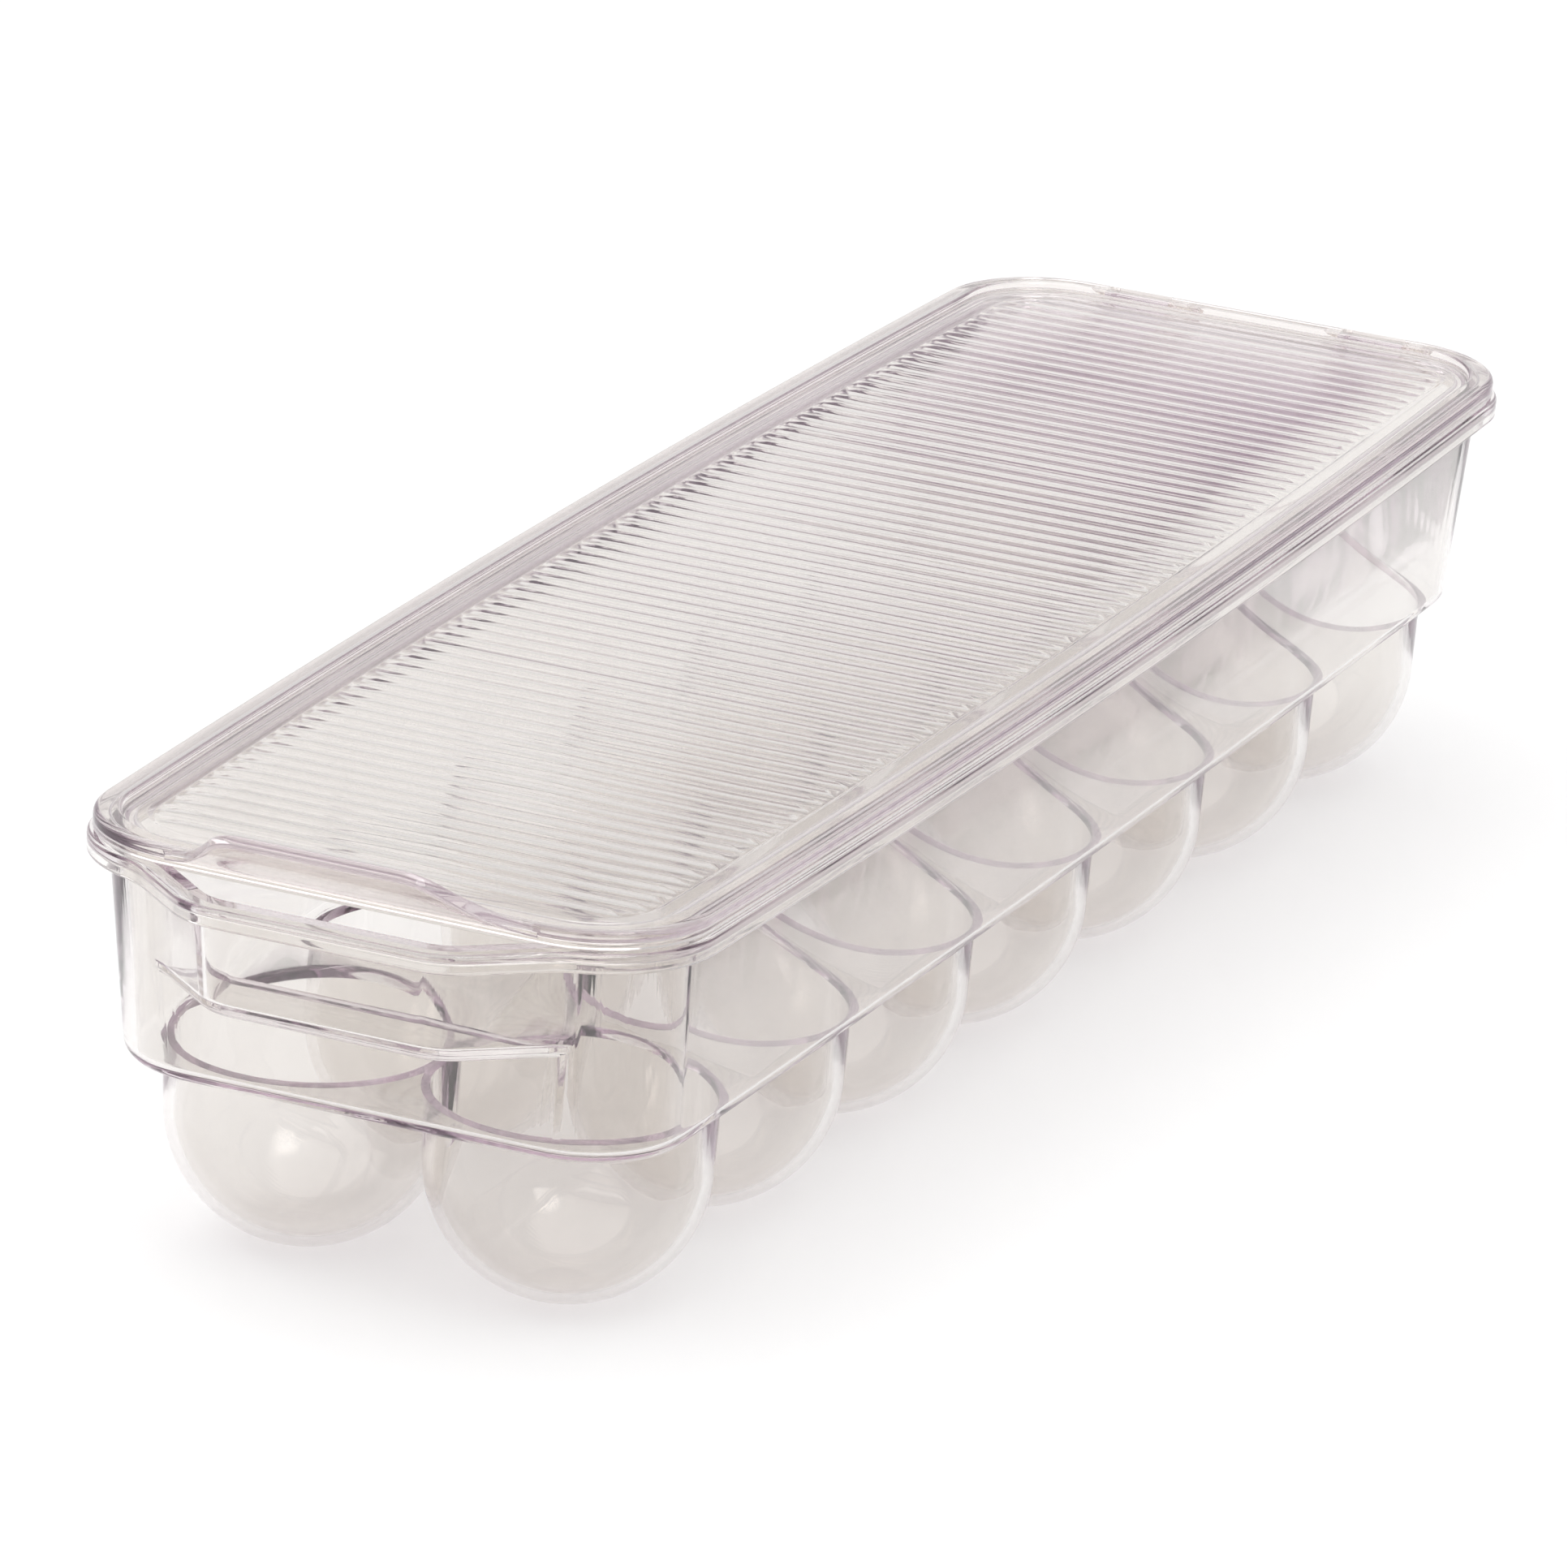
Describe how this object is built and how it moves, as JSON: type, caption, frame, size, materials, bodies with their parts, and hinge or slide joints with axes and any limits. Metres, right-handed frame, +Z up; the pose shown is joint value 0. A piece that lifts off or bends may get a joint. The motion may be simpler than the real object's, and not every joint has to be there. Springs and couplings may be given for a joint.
{
  "type": "egg keeper",
  "caption": "Clear long egg keeper: a bin with two rows of round-bottomed cups, a hollow front pull, and a ribbed lid with a raised lip that flips up on rear hinges.",
  "frame": {"origin": "centre of the bounding box in plan, at the height of the cups' feet", "axes": "+Z up, front pull and lid lip at -Y, hinges at +Y, +X to the right seen from the front"},
  "size_m": [0.1076, 0.3774, 0.0803],
  "materials": {
    "bin_clear": "clear, glossy",
    "lid_clear": "clear, glossy, ribbed"
  },
  "bodies": {
    "bin": {"egg_cup_left_1": "bin_clear", "egg_cup_left_2": "bin_clear", "egg_cup_left_3": "bin_clear", "egg_cup_left_4": "bin_clear", "egg_cup_left_5": "bin_clear", "egg_cup_left_6": "bin_clear", "egg_cup_left_7": "bin_clear", "egg_cup_right_1": "bin_clear", "egg_cup_right_2": "bin_clear", "egg_cup_right_3": "bin_clear", "egg_cup_right_4": "bin_clear", "egg_cup_right_5": "bin_clear", "egg_cup_right_6": "bin_clear", "egg_cup_right_7": "bin_clear", "front_wall": "bin_clear", "back_wall": "bin_clear", "left_wall": "bin_clear", "right_wall": "bin_clear"},
    "lid": {"lid": "lid_clear"}
  },
  "joints": [
    {"name": "lid_hinge", "type": "hinge", "parent": "bin", "child": "lid", "pos_m": [0, 0.1848, 0.0661], "axis": [-1, 0, 0], "range_deg": [0, 105]}
  ]
}
